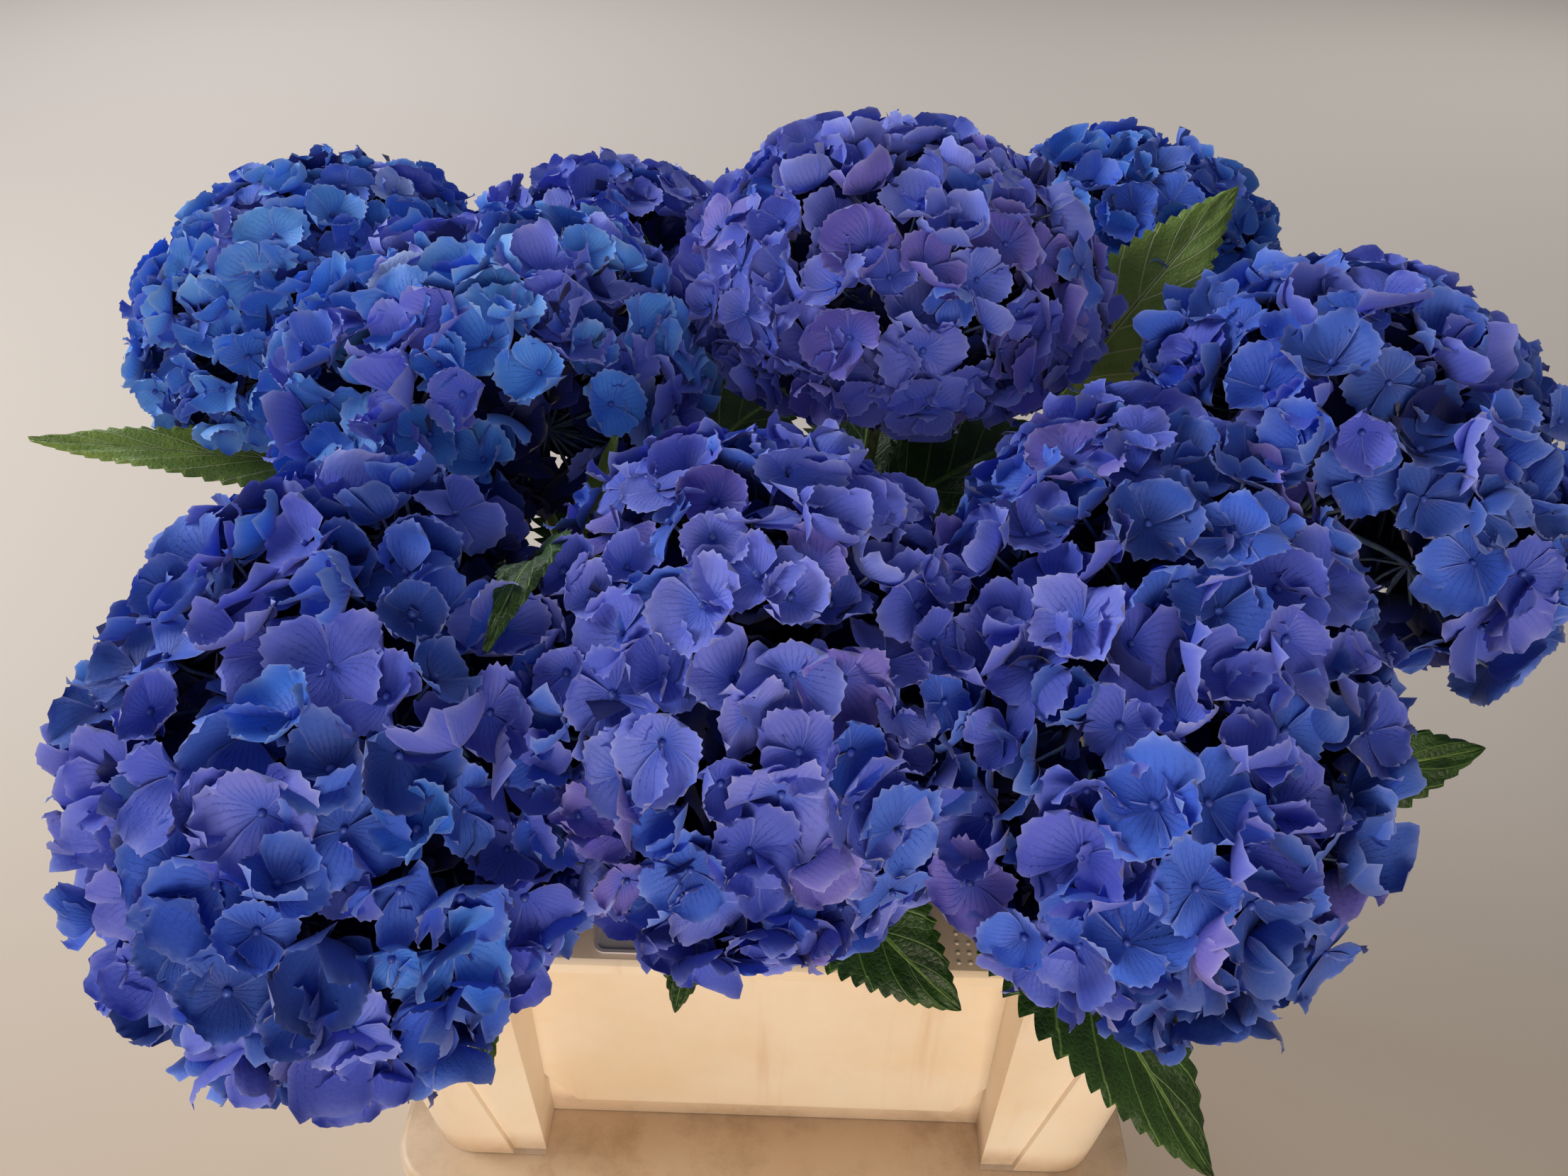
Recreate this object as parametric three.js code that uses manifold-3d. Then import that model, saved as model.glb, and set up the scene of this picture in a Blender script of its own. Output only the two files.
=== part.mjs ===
// Nine cut hydrangea stems with mophead blooms and leaves, standing in a cream plastic flower bucket.
// Millimetres, +Z up. The origin is the middle of the bucket's flat underside, and -Y is the bucket's front.
import * as THREE from "three";
import { mergeVertices } from "three/addons/utils/BufferGeometryUtils.js";
import Module from "manifold-3d";

const wasm = await Module();
wasm.setup();

// Fits and walls
const GAP = 0.3; // clearance between pieces that touch
const WALL = 3.5; // moulded plastic wall
const EDGE = 2; // chamfer along the upper edges
const BEYOND = 600; // size of a cutting block that reaches past everything
const FLOOR = 5; // thickness of the tub's floor and its shelf

// The tub, the lower half of the bucket
const TUB_FOOT = [176, 128]; // half width and half depth of the flat underside
const TUB_NECK = [190, 142]; // the same just under the shelf
const TUB_RIM = [198, 150]; // the same over the down-turned edge of the shelf
const TUB_CORNER = 30; // corner radius in plan
const TUB_FOOT_CHAMFER = 4;
const SHELF_Z = 166; // top of the shelf that the collar stands on
const SHELF_LIP = 14; // how far the shelf's edge turns down
const SHELF_OPENING = [148, 97];

// The collar, the upper half of the bucket
const RIM_Z = 360; // top of the bucket
const RIM_HALF = [195, 145]; // half width and half depth at the rim
const RIM_PLATE = 8; // thickness of the broad flat rim
const MOUTH = [153, 103]; // half width and half depth of the mouth
const MOUTH_CORNER = 18;
const COLLAR_DRAFT = 15; // how much narrower each side of the collar is at its foot
const COLLAR_CORNER = 24;
const POST_INNER = { front: 117, side: 67 }; // half width of the recess between two corner posts
const RECESS = 36; // depth of the recess behind the rim's edge
const KICK = 5; // how much deeper the foot of the recess is
const KICK_Z = 186; // height of the panel's lower edge
const CUT_CORNER = [16, 24]; // width and height of the cut corners of the panel's lower edge
const POST_STEP = 3; // depth of the sunk part of each post's front
const POST_STEP_X = [134, 163]; // where the slanting step lies at the collar's foot and at its top

// The bare label plate on the front of the rim
const LABEL = [148, 31, 1.2];
const LABEL_Y = -125;

// Stems
const STEM_FOOT_R = 4.6;
const STEM_TIP_R = 3.1;
const STEM_SIDES = 6;
const STEM_STEPS = 9;
const FOOT_SPREAD = 0.72; // where a stem stands on the floor, as a share of where it leaves the mouth
const MOUTH_Z = 372; // height at which a stem passes the mouth
const LOW_PART = 0.6; // how far up the straight way from its foot to the mouth a stem is pinned
const NECK = 26; // bare stalk between a bloom's core and its stem

// Blooms
const CORE = 0.79; // the core's size as a share of the bloom's
const UNDERSIDE = 0.62; // how much flatter a bloom is below its widest part
const FLORET_LOBES = 4;
const FLORET_DISH = 0.16; // how far a floret's middle lies below its edge, as a share of its radius
const FLORET_NOTCH = 0.7; // radius between two sepals, as a share of the floret's
const FLORET_ROOT = 0.63; // how far from the bloom's middle a floret's stalk starts, as a share of its own distance
const FLORET_TILT = 0.16; // most that a floret leans away from the bloom's surface, in radians
const FLORET_REACH = [0.87, 0.94]; // how far out florets stand, as a share of the bloom's size
const LOWEST_FLORET = -0.6; // cosine of the lowest floret's angle from the bloom's axis
const OPEN_CONE = 0.42; // cosine of the half angle of a bloom's open side
const BLOOM_GAP = 0.5; // half the clear space between two blooms
const NEIGHBOUR = 1.35; // blooms nearer than this share of their two half widths are cut apart
const LEAF_CLEARANCE = 1.2; // room that a bloom's core leaves on each side of a leaf

// Leaves
const LEAF_THICKNESS = 1.7;
const LEAF_TEETH = 5;
const LEAF_TOOTH = 0.84; // half width between two teeth, as a share of that at a tooth
const LEAF_TIP = 0.6; // half width of a leaf's very tip
const BLADE_WIDEST = 0.62; // under 1, it moves the widest part of a blade towards its base
const BLADE_ROUND = 0.8; // under 1, it makes a blade's outline rounder
const BLADE_DRAWN = 0.25; // how much a blade narrows towards its drawn-out tip
const PETIOLE_SHARE = 0.16; // share of a leaf's length that is its stalk
const PETIOLE_R = 1.5;
const LEAF_FOLD = 0.22; // rise of a blade's edge above its midrib, as a share of its half width

const PLASTIC = new THREE.MeshStandardMaterial({ color: 0xe6cda6, roughness: 0.5, metalness: 0 });
const CARD = new THREE.MeshStandardMaterial({ color: 0xd9dae4, roughness: 0.6, metalness: 0 });
const STALK = new THREE.MeshStandardMaterial({ color: 0x6f8a4a, roughness: 0.7, metalness: 0 });
const PETAL = new THREE.MeshStandardMaterial({ color: 0x5361bd, roughness: 0.7, metalness: 0 });
const FOLIAGE = new THREE.MeshStandardMaterial({ color: 0x33501f, roughness: 0.6, metalness: 0 });

// Each stem: where it passes the mouth, the way its bloom faces, the bloom's centre, size across, along and deep,
// and the number and radius of its florets. A bloom may be open on one side, where its flower stalks show.
const STEMS = {
  front_left: {
    mouth: [-104, -72], axis: [-0.4, -0.45, 0.8],
    centre: [-150, -139, 472],
    radii: [102, 118, 92], florets: 24, floret: 32,
  },
  front_middle: {
    mouth: [-6, -66], axis: [0, -0.45, 0.89],
    centre: [-8, -112, 490],
    radii: [94, 106, 88], florets: 22, floret: 31,
  },
  front_right: {
    mouth: [94, -66], axis: [0.32, -0.4, 0.86],
    centre: [140, -108, 488],
    radii: [92, 126, 84], florets: 23, floret: 31,
  },
  right: {
    mouth: [136, 2], axis: [0.55, -0.05, 0.8],
    centre: [250, 4, 520],
    radii: [104, 102, 86], florets: 22, floret: 30, open: [-0.62, -0.56, -0.55],
  },
  middle: {
    mouth: [30, 42], axis: [0.05, 0.02, 1],
    centre: [52, 100, 560],
    radii: [103, 100, 78], florets: 21, floret: 31,
  },
  left: {
    mouth: [-76, 10], axis: [-0.25, -0.05, 0.97],
    centre: [-135, 46, 526],
    radii: [104, 100, 80], florets: 21, floret: 31,
  },
  far_left: {
    mouth: [-128, 66], axis: [-0.5, 0.1, 0.8],
    centre: [-258, 154, 515],
    radii: [102, 104, 78], florets: 21, floret: 29,
  },
  back_left: {
    mouth: [-50, 86], axis: [-0.2, 0.5, 0.85],
    centre: [-116, 258, 504],
    radii: [86, 86, 64], florets: 17, floret: 28,
  },
  back_right: {
    mouth: [88, 84], axis: [0.3, 0.4, 0.85],
    centre: [206, 258, 524],
    radii: [88, 88, 66], florets: 18, floret: 28,
  },
};

// Each leaf: its stem, how far up that it grows, its width, its tip, the point that it bends over, and the way its
// upper side faces.
const LEAVES = {
  leaf_far_left: {
    stem: "far_left", up: 0.9, width: 48,
    tip: [-372, 49, 498], over: [-288, 56, 488], face: [0.1, -0.3, 0.95],
  },
  leaf_far_left_back: {
    stem: "far_left", up: 0.86, width: 80,
    tip: [-318, 232, 424], over: [-236, 186, 440], face: [-0.3, 0.4, 0.8],
  },
  leaf_left: {
    stem: "left", up: 0.84, width: 78,
    tip: [-236, -26, 452], over: [-168, -26, 462], face: [-0.2, -0.4, 0.9],
  },
  leaf_left_back: {
    stem: "left", up: 0.8, width: 86,
    tip: [-102, 166, 440], over: [-96, 88, 458], face: [0, -0.2, 1],
  },
  leaf_front_left_up: {
    stem: "front_left", up: 0.8, width: 60,
    tip: [-68, -28, 552], over: [-92, -44, 470], face: [-0.6, -0.5, 0.5],
  },
  leaf_front_left_top: {
    stem: "front_left", up: 0.94, width: 44,
    tip: [-92, -160, 546], over: [-64, -84, 600], face: [-0.3, -0.3, 0.9],
  },
  leaf_front_left_low: {
    stem: "front_left", up: 0.84, width: 40,
    tip: [-106, -198, 352], over: [-124, -150, 396], face: [0.4, -0.6, 0.7],
  },
  leaf_front_left_side: {
    stem: "front_left", up: 0.87, width: 78,
    tip: [-246, -62, 398], over: [-180, -62, 418], face: [-0.2, 0.1, 0.9],
  },
  leaf_front_middle_left: {
    stem: "front_middle", up: 0.86, width: 52,
    tip: [-34, -180, 378], over: [-26, -140, 412], face: [0, -0.6, 0.8],
  },
  leaf_front_middle_right: {
    stem: "front_middle", up: 0.82, width: 76,
    tip: [80, -176, 380], over: [30, -152, 414], face: [0.1, -0.6, 0.8],
  },
  leaf_front_right_low: {
    stem: "front_right", up: 0.8, width: 98,
    tip: [183, -212, 326], over: [110, -174, 432], face: [0.3, -0.5, 0.8],
  },
  leaf_front_right_side: {
    stem: "front_right", up: 0.86, width: 84,
    tip: [304, -84, 444], over: [222, -94, 424], face: [0.1, -0.7, 0.7],
  },
  leaf_front_right_in: {
    stem: "front_right", up: 0.76, width: 66,
    tip: [44, -14, 436], over: [74, -50, 424], face: [-0.2, -0.4, 0.9],
  },
  leaf_right: {
    stem: "right", up: 0.84, width: 80,
    tip: [262, 108, 420], over: [208, 70, 430], face: [0.4, 0.2, 0.8],
  },
  leaf_middle_front: {
    stem: "middle", up: 0.78, width: 62,
    tip: [94, 4, 494], over: [60, 14, 478], face: [-0.2, -0.6, 0.8],
  },
  leaf_middle_back: {
    stem: "middle", up: 0.82, width: 80,
    tip: [56, 216, 476], over: [48, 150, 476], face: [0, 0.2, 0.9],
  },
  leaf_middle_right: {
    stem: "middle", up: 0.85, width: 80,
    tip: [156, 150, 466], over: [100, 92, 476], face: [0.1, -0.3, 0.9],
  },
  leaf_back_left_up: {
    stem: "back_left", up: 0.84, width: 40,
    tip: [-82, 196, 554], over: [-46, 176, 490], face: [0.8, -0.5, 0.2],
  },
  leaf_back_left: {
    stem: "back_left", up: 0.88, width: 80,
    tip: [-182, 318, 420], over: [-128, 252, 430], face: [-0.2, 0.3, 0.9],
  },
  leaf_back_left_in: {
    stem: "back_left", up: 0.78, width: 88,
    tip: [26, 216, 456], over: [-44, 196, 446], face: [0, -0.3, 0.9],
  },
  leaf_back_right_up: {
    stem: "back_right", up: 0.9, width: 74,
    tip: [236, 178, 594], over: [182, 146, 540], face: [-0.1, -0.8, 0.6],
  },
  leaf_back_right: {
    stem: "back_right", up: 0.88, width: 80,
    tip: [292, 316, 430], over: [222, 250, 436], face: [0.2, 0.4, 0.9],
  },
  leaf_back_right_side: {
    stem: "back_right", up: 0.9, width: 80,
    tip: [286, 142, 450], over: [232, 188, 466], face: [0, 0, 1],
  },
};

// The same row of random numbers on every run.
function randomFrom(seed) {
  let state = seed;
  return () => {
    state = (state + 0x6d2b79f5) | 0;
    let t = Math.imul(state ^ (state >>> 15), 1 | state);
    t = (t + Math.imul(t ^ (t >>> 7), 61 | t)) ^ t;
    return ((t ^ (t >>> 14)) >>> 0) / 4294967296;
  };
}

const vector = (list) => new THREE.Vector3(...list);

// A closed geometry as a manifold solid that can be joined and cut.
function solidOf(geometry) {
  const bare = geometry.clone();
  bare.deleteAttribute("normal");
  bare.deleteAttribute("uv");
  const merged = mergeVertices(bare, 1e-4);
  return new wasm.Manifold(
    new wasm.Mesh({
      numProp: 3,
      vertProperties: new Float32Array(merged.attributes.position.array),
      triVerts: new Uint32Array(merged.index.array),
    }),
  );
}

function geometryOf(solid) {
  const mesh = solid.getMesh();
  const geometry = new THREE.BufferGeometry();
  geometry.setAttribute("position", new THREE.BufferAttribute(new Float32Array(mesh.vertProperties), 3));
  geometry.setIndex(new THREE.BufferAttribute(new Uint32Array(mesh.triVerts), 1));
  geometry.computeVertexNormals();
  return geometry;
}

// Closed body through rings of points. The rings run anticlockwise, seen from the last ring.
function loft(rings) {
  const count = rings[0].length;
  const index = [];
  for (let r = 0; r + 1 < rings.length; r++)
    for (let k = 0; k < count; k++) {
      const a = r * count + k;
      const b = r * count + ((k + 1) % count);
      index.push(a, b, b + count, a, b + count, a + count);
    }
  const last = (rings.length - 1) * count;
  for (let k = 1; k + 1 < count; k++) {
    index.push(0, k + 1, k);
    index.push(last, last + k, last + k + 1);
  }
  const geometry = new THREE.BufferGeometry().setFromPoints(rings.flat());
  geometry.setIndex(index);
  return geometry;
}

// Points of a rectangle with round corners, at one height.
function roundedRectangle([halfX, halfY], radius, z, steps = 6) {
  const ring = [];
  [[1, 1], [-1, 1], [-1, -1], [1, -1]].forEach(([sx, sy], corner) => {
    for (let k = 0; k <= steps; k++) {
      const angle = ((corner + k / steps) * Math.PI) / 2;
      ring.push(new THREE.Vector3(
        sx * (halfX - radius) + radius * Math.cos(angle),
        sy * (halfY - radius) + radius * Math.sin(angle),
        z,
      ));
    }
  });
  return ring;
}

const shrunk = ([a, b], by) => [a - by, b - by];

function tub() {
  const outside = solidOf(loft([
    roundedRectangle(shrunk(TUB_FOOT, TUB_FOOT_CHAMFER), TUB_CORNER, 0),
    roundedRectangle(TUB_FOOT, TUB_CORNER, TUB_FOOT_CHAMFER),
    roundedRectangle(TUB_NECK, TUB_CORNER, SHELF_Z - SHELF_LIP),
    roundedRectangle(TUB_RIM, TUB_CORNER, SHELF_Z - SHELF_LIP),
    roundedRectangle(TUB_RIM, TUB_CORNER, SHELF_Z - EDGE),
    roundedRectangle(shrunk(TUB_RIM, EDGE), TUB_CORNER, SHELF_Z),
  ]));
  const inside = solidOf(loft([
    roundedRectangle(shrunk(TUB_FOOT, WALL), TUB_CORNER - WALL, FLOOR),
    roundedRectangle(shrunk(TUB_NECK, WALL), TUB_CORNER - WALL, SHELF_Z - FLOOR),
  ]));
  const opening = solidOf(loft([
    roundedRectangle(SHELF_OPENING, MOUTH_CORNER, SHELF_Z - 2 * FLOOR),
    roundedRectangle(SHELF_OPENING, MOUTH_CORNER, SHELF_Z + FLOOR),
  ]));
  return outside.subtract(inside).subtract(opening);
}

// The recess between two posts: a flat shape in X and Z pushed in along Y from beyond the rim's edge to a depth.
function recess(outline, faceY, turned) {
  const shape = new THREE.Shape(outline.map(([x, z]) => new THREE.Vector2(x, z)));
  const geometry = new THREE.ExtrudeGeometry(shape, { depth: BEYOND, bevelEnabled: false, steps: 1 });
  geometry.rotateX(Math.PI / 2);
  geometry.translate(0, -faceY, 0);
  geometry.rotateZ(turned);
  return solidOf(geometry);
}

// Everything that is cut away between the posts. grow makes the cut larger, for the inside of the wall.
function recesses(grow) {
  const low = SHELF_Z - BEYOND;
  const top = RIM_Z - RIM_PLATE + (grow ? 1 : 0);
  const [cutX, cutZ] = CUT_CORNER;
  const sides = [
    [POST_INNER.front, RIM_HALF[1], 0],
    [POST_INNER.side, RIM_HALF[0], Math.PI / 2],
    [POST_INNER.front, RIM_HALF[1], Math.PI],
    [POST_INNER.side, RIM_HALF[0], -Math.PI / 2],
  ];
  const cuts = sides.flatMap(([half, edge, turned]) => {
    const x = half + grow;
    const kick = KICK_Z + grow;
    const panel = [[-x, low], [x, low], [x, top], [-x, top]];
    const foot = [[-x, low], [x, low], [x, kick + cutZ], [x - cutX, kick], [cutX - x, kick], [-x, kick + cutZ]];
    const face = edge - RECESS - grow;
    return [recess(panel, face, turned), recess(foot, face - KICK, turned)];
  });
  return cuts.reduce((all, one) => all.add(one));
}

// The sunk inner part of each post's front and back, which ends at a slanting step.
function sunkPosts() {
  const [low, high] = POST_STEP_X;
  const inner = POST_INNER.front - 1;
  const top = RIM_Z - RIM_PLATE;
  const cuts = [];
  for (const turned of [0, Math.PI])
    for (const side of [1, -1]) {
      const outline = [[inner, SHELF_Z], [low, SHELF_Z], [high, top], [inner, top]].map(([x, z]) => [side * x, z]);
      if (side < 0) outline.reverse();
      const slope = Math.atan(COLLAR_DRAFT / (top - SHELF_Z));
      const shape = new THREE.Shape(outline.map(([x, z]) => new THREE.Vector2(x, z - top)));
      const geometry = new THREE.ExtrudeGeometry(shape, { depth: BEYOND, bevelEnabled: false, steps: 1 });
      geometry.rotateX(Math.PI / 2 + slope);
      geometry.translate(0, POST_STEP - RIM_HALF[1], top);
      geometry.rotateZ(turned);
      cuts.push(solidOf(geometry));
    }
  return cuts.reduce((all, one) => all.add(one));
}

function collar() {
  const foot = SHELF_Z + GAP;
  const top = RIM_Z - RIM_PLATE;
  const body = (grow, low, high) => solidOf(loft([
    roundedRectangle(shrunk(RIM_HALF, COLLAR_DRAFT + grow), COLLAR_CORNER - grow, low),
    roundedRectangle(shrunk(RIM_HALF, grow), COLLAR_CORNER - grow, high),
  ]));
  const outside = body(0, foot, top).subtract(recesses(0)).subtract(sunkPosts());
  const inside = body(WALL + POST_STEP, foot - 1, top + 0.5).subtract(recesses(WALL));
  const plate = solidOf(loft([
    roundedRectangle(RIM_HALF, COLLAR_CORNER, top),
    roundedRectangle(RIM_HALF, COLLAR_CORNER, RIM_Z - EDGE),
    roundedRectangle(shrunk(RIM_HALF, EDGE), COLLAR_CORNER, RIM_Z),
  ]));
  const mouth = solidOf(loft([
    roundedRectangle(MOUTH, MOUTH_CORNER, top - RIM_PLATE),
    roundedRectangle(MOUTH, MOUTH_CORNER, RIM_Z + RIM_PLATE),
  ]));
  return outside.subtract(inside).add(plate).subtract(mouth);
}

// A tapering limb along a curve: rings of points at right angles to it. grow makes it thicker, and longer at its end.
function limb(curve, steps, sides, radiusAt, grow = 0) {
  const rings = [];
  for (let k = 0; k <= steps; k++) {
    const t = k / steps;
    const along = curve.getTangent(t);
    const point = curve.getPoint(t).addScaledVector(along, k === steps ? grow : 0);
    const radius = radiusAt(t) + grow;
    const across = new THREE.Vector3(0, 1, 0).cross(along).normalize();
    const up = along.clone().cross(across);
    const ring = [];
    for (let s = 0; s < sides; s++) {
      const angle = (s * 2 * Math.PI) / sides;
      ring.push(point.clone()
        .addScaledVector(across, radius * Math.cos(angle))
        .addScaledVector(up, radius * Math.sin(angle)));
    }
    rings.push(ring);
  }
  return loft(rings);
}

// The line that a stem follows, its bloom's axis, and where the stem ends.
function route({ mouth, axis, centre, radii }) {
  const heart = vector(centre);
  const pass = new THREE.Vector3(...mouth, MOUTH_Z);
  const out = vector(axis).normalize();
  const neck = heart.clone().addScaledVector(out, -(radii[2] * UNDERSIDE * CORE + NECK));
  const foot = new THREE.Vector3(mouth[0] * FOOT_SPREAD, mouth[1] * FOOT_SPREAD, FLOOR + GAP);
  const curve = new THREE.CatmullRomCurve3([foot, foot.clone().lerp(pass, LOW_PART), pass, neck]);
  return { curve, axis: out, heart, neck, radii };
}

const stemRadius = (t) => STEM_FOOT_R + (STEM_TIP_R - STEM_FOOT_R) * t;

// The foot's ring is level, so that the stem stands flat on the tub's floor.
function stem(plan, grow = 0) {
  const geometry = limb(plan.curve, STEM_STEPS, STEM_SIDES, stemRadius, grow);
  const position = geometry.attributes.position;
  for (let k = 0; k < STEM_SIDES; k++) position.setZ(k, FLOOR + GAP);
  return geometry;
}

// Half width of a leaf's blade along its length, as a share of the widest: round near the base, drawn out at the tip.
function bladeProfile(s) {
  return Math.pow(Math.sin(Math.PI * Math.pow(s, BLADE_WIDEST)), BLADE_ROUND) * (1 - BLADE_DRAWN * s);
}

// A leaf: its stalk and blade are one loft along the curve from the stem's middle over a bend to the tip.
// What lies inside the stem is cut away afterwards.
function leaf({ stem: name, up, tip, over, face, width }, clearance = 0) {
  const spine = new THREE.QuadraticBezierCurve3(plans[name].curve.getPoint(up), vector(over), vector(tip));
  const stations = [0, PETIOLE_SHARE / 2, PETIOLE_SHARE];
  const rows = 2 * LEAF_TEETH;
  for (let k = 1; k <= rows; k++) stations.push(PETIOLE_SHARE + ((1 - PETIOLE_SHARE) * k) / rows);
  const rings = stations.map((t, k) => {
    const middle = spine.getPoint(t);
    const along = spine.getTangent(t);
    const side = along.clone().cross(vector(face)).normalize();
    const normal = side.clone().cross(along).normalize();
    const blade = Math.max(0, (t - PETIOLE_SHARE) / (1 - PETIOLE_SHARE));
    const tooth = k % 2 ? 1 : LEAF_TOOTH;
    const least = k === stations.length - 1 ? LEAF_TIP : PETIOLE_R;
    const half = clearance + Math.max(least, (width / 2) * bladeProfile(blade) * tooth);
    const thickness = 2 * clearance + (blade > 0 ? LEAF_THICKNESS : 2 * PETIOLE_R);
    const point = (x, z) => middle.clone().addScaledVector(side, x).addScaledVector(normal, z + thickness / 2);
    const rise = LEAF_FOLD * (half - PETIOLE_R);
    return [
      point(-half, rise - thickness),
      point(0, -thickness),
      point(half, rise - thickness),
      point(half, rise),
      point(0, 0),
      point(-half, rise),
    ].reverse();
  });
  return loft(rings);
}

// One floret: a dished, four-lobed top that narrows to a stalk sunk in the core.
function floret(place, normal, radius, spin, depth) {
  const side = new THREE.Vector3(normal.z, 0.3, -normal.x).cross(normal).normalize();
  const other = normal.clone().cross(side);
  const rim = [];
  for (let lobe = 0; lobe < FLORET_LOBES; lobe++)
    for (const [turn, reach] of [[0, 1], [0.5, FLORET_NOTCH]]) {
      const angle = spin + ((lobe + turn) * 2 * Math.PI) / FLORET_LOBES;
      rim.push(place.clone()
        .addScaledVector(side, radius * reach * Math.cos(angle))
        .addScaledVector(other, radius * reach * Math.sin(angle)));
    }
  const top = place.clone().addScaledVector(normal, -radius * FLORET_DISH);
  const root = place.clone().addScaledVector(normal, -depth);
  const count = rim.length;
  const index = [];
  for (let k = 0; k < count; k++) {
    const next = (k + 1) % count;
    index.push(k, next, count);
    index.push(next, k, count + 1);
  }
  const geometry = new THREE.BufferGeometry().setFromPoints([...rim, top, root]);
  geometry.setIndex(index);
  return geometry;
}

// A bloom's own axes: across, along and out.
function bloomAxes(axis) {
  const across = new THREE.Vector3(0, 1, 0).cross(axis).normalize();
  return [across, axis.clone().cross(across), axis];
}

// A big block that takes away what a bloom has past the plane between it and a neighbour.
function pastPlane(here, there) {
  const normal = there.heart.clone().sub(here.heart);
  const share = here.radii[0] / (here.radii[0] + there.radii[0]);
  const distance = normal.length() * share - BLOOM_GAP;
  normal.normalize();
  const block = new THREE.BoxGeometry(BEYOND, BEYOND, BEYOND);
  block.translate(0, 0, BEYOND / 2);
  block.applyQuaternion(new THREE.Quaternion().setFromUnitVectors(new THREE.Vector3(0, 0, 1), normal));
  const corner = here.heart.clone().addScaledVector(normal, distance);
  block.translate(corner.x, corner.y, corner.z);
  return solidOf(block);
}

// A bloom: a core on a short stalk, with florets standing out of it all round. keepOut holds stems and leaves near it.
function bloom(plan, { radii, florets, floret: size, open }, seed, keepOut, leafRoom) {
  const random = randomFrom(seed);
  const [across, along, out] = bloomAxes(plan.axis);
  const surface = (x, y, z, scale) => plan.heart.clone()
    .addScaledVector(across, x * radii[0] * scale)
    .addScaledVector(along, y * radii[1] * scale)
    .addScaledVector(out, z * radii[2] * scale * (z < 0 ? UNDERSIDE : 1));
  const core = new THREE.IcosahedronGeometry(1, 1);
  const position = core.attributes.position;
  for (let k = 0; k < position.count; k++)
    position.setXYZ(k, ...surface(position.getX(k), position.getY(k), position.getZ(k), CORE).toArray());
  let body = leafRoom.reduce((rest, room) => rest.subtract(room), solidOf(core));
  const stalk = limb(new THREE.LineCurve3(plan.neck, plan.heart), 1, STEM_SIDES, () => STEM_TIP_R);
  body = body.add(solidOf(stalk));
  for (let k = 0; k < florets; k++) {
    const z = 1 - ((1 - LOWEST_FLORET) * (k + 0.5)) / florets;
    const ring = Math.sqrt(1 - z * z);
    const angle = k * Math.PI * (3 - Math.sqrt(5)) + seed;
    const [x, y] = [ring * Math.cos(angle), ring * Math.sin(angle)];
    const place = surface(x, y, z, FLORET_REACH[0] + (FLORET_REACH[1] - FLORET_REACH[0]) * random());
    const normal = across.clone().multiplyScalar(x / radii[0])
      .addScaledVector(along, y / radii[1])
      .addScaledVector(out, z / radii[2])
      .normalize();
    const lean = new THREE.Vector3(random() - 0.5, random() - 0.5, random() - 0.5).multiplyScalar(2 * FLORET_TILT);
    const radius = size * (0.88 + 0.24 * random());
    const depth = place.distanceTo(plan.heart) * (1 - FLORET_ROOT);
    const one = solidOf(floret(place, normal.add(lean).normalize(), radius, random() * Math.PI, depth));
    const outward = place.clone().sub(plan.heart).normalize();
    const shut = !open || outward.dot(vector(open).normalize()) < OPEN_CONE;
    if (shut && keepOut.every((solid) => solid.intersect(one).isEmpty())) body = body.add(one);
  }
  for (const other of Object.values(plans)) {
    const apart = other.heart.distanceTo(plan.heart);
    if (other !== plan && apart < NEIGHBOUR * (radii[0] + other.radii[0])) body = body.subtract(pastPlane(plan, other));
  }
  return body;
}

// What is left after a cut may hold loose scraps: only the largest body stays.
function largest(solid) {
  return solid.decompose().reduce((best, one) => (one.volume() > best.volume() ? one : best));
}

const plans = Object.fromEntries(Object.entries(STEMS).map(([name, plan]) => [name, route(plan)]));

const plant = new THREE.Group();

function add(group, name, geometry, material) {
  const mesh = new THREE.Mesh(geometry, material);
  mesh.name = name;
  group.add(mesh);
  return mesh;
}

const bucket = new THREE.Group();
add(bucket, "bucket_tub", geometryOf(tub()), PLASTIC);
add(bucket, "bucket_collar", geometryOf(collar()), PLASTIC);
const label = add(bucket, "label_plate", new THREE.BoxGeometry(...LABEL), CARD);
label.position.set(0, LABEL_Y, RIM_Z + GAP + LABEL[2] / 2);
plant.add(bucket);

const solids = {};
const stemRoom = {};
for (const [name, plan] of Object.entries(plans)) stemRoom[name] = solidOf(stem(plan, GAP));
for (const [name, plan] of Object.entries(plans)) solids["stem_" + name] = solidOf(stem(plan));
for (const [name, plan] of Object.entries(LEAVES))
  solids[name] = largest(solidOf(leaf(plan)).subtract(stemRoom[plan.stem]));
for (const [name, solid] of Object.entries(solids))
  add(plant, name, geometryOf(solid), name.startsWith("stem") ? STALK : FOLIAGE);

const leafRoom = Object.values(LEAVES).map((plan) => solidOf(leaf(plan, LEAF_CLEARANCE)));
Object.entries(STEMS).forEach(([name, plan], k) => {
  const body = bloom(plans[name], plan, k + 1, Object.values(solids), leafRoom).subtract(stemRoom[name]);
  add(plant, "bloom_" + name, geometryOf(largest(body)), PETAL);
});

export default plant;
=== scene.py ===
# %% [markdown]
# # Cut hydrangeas in a flower bucket
# Nine cut stems of mophead hydrangea stand close together in a cream plastic bucket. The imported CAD
# model is the frame: it fixes where each stem, leaf and bloom is and about how large it is. This script
# gives every one of them its real surface. Its fine sepals stand out a little further than the larger
# florets of the solids.

# %% Load the frame
import math

import bmesh
import bpy
import numpy as np
from mathutils import Matrix, Vector, kdtree


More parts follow.
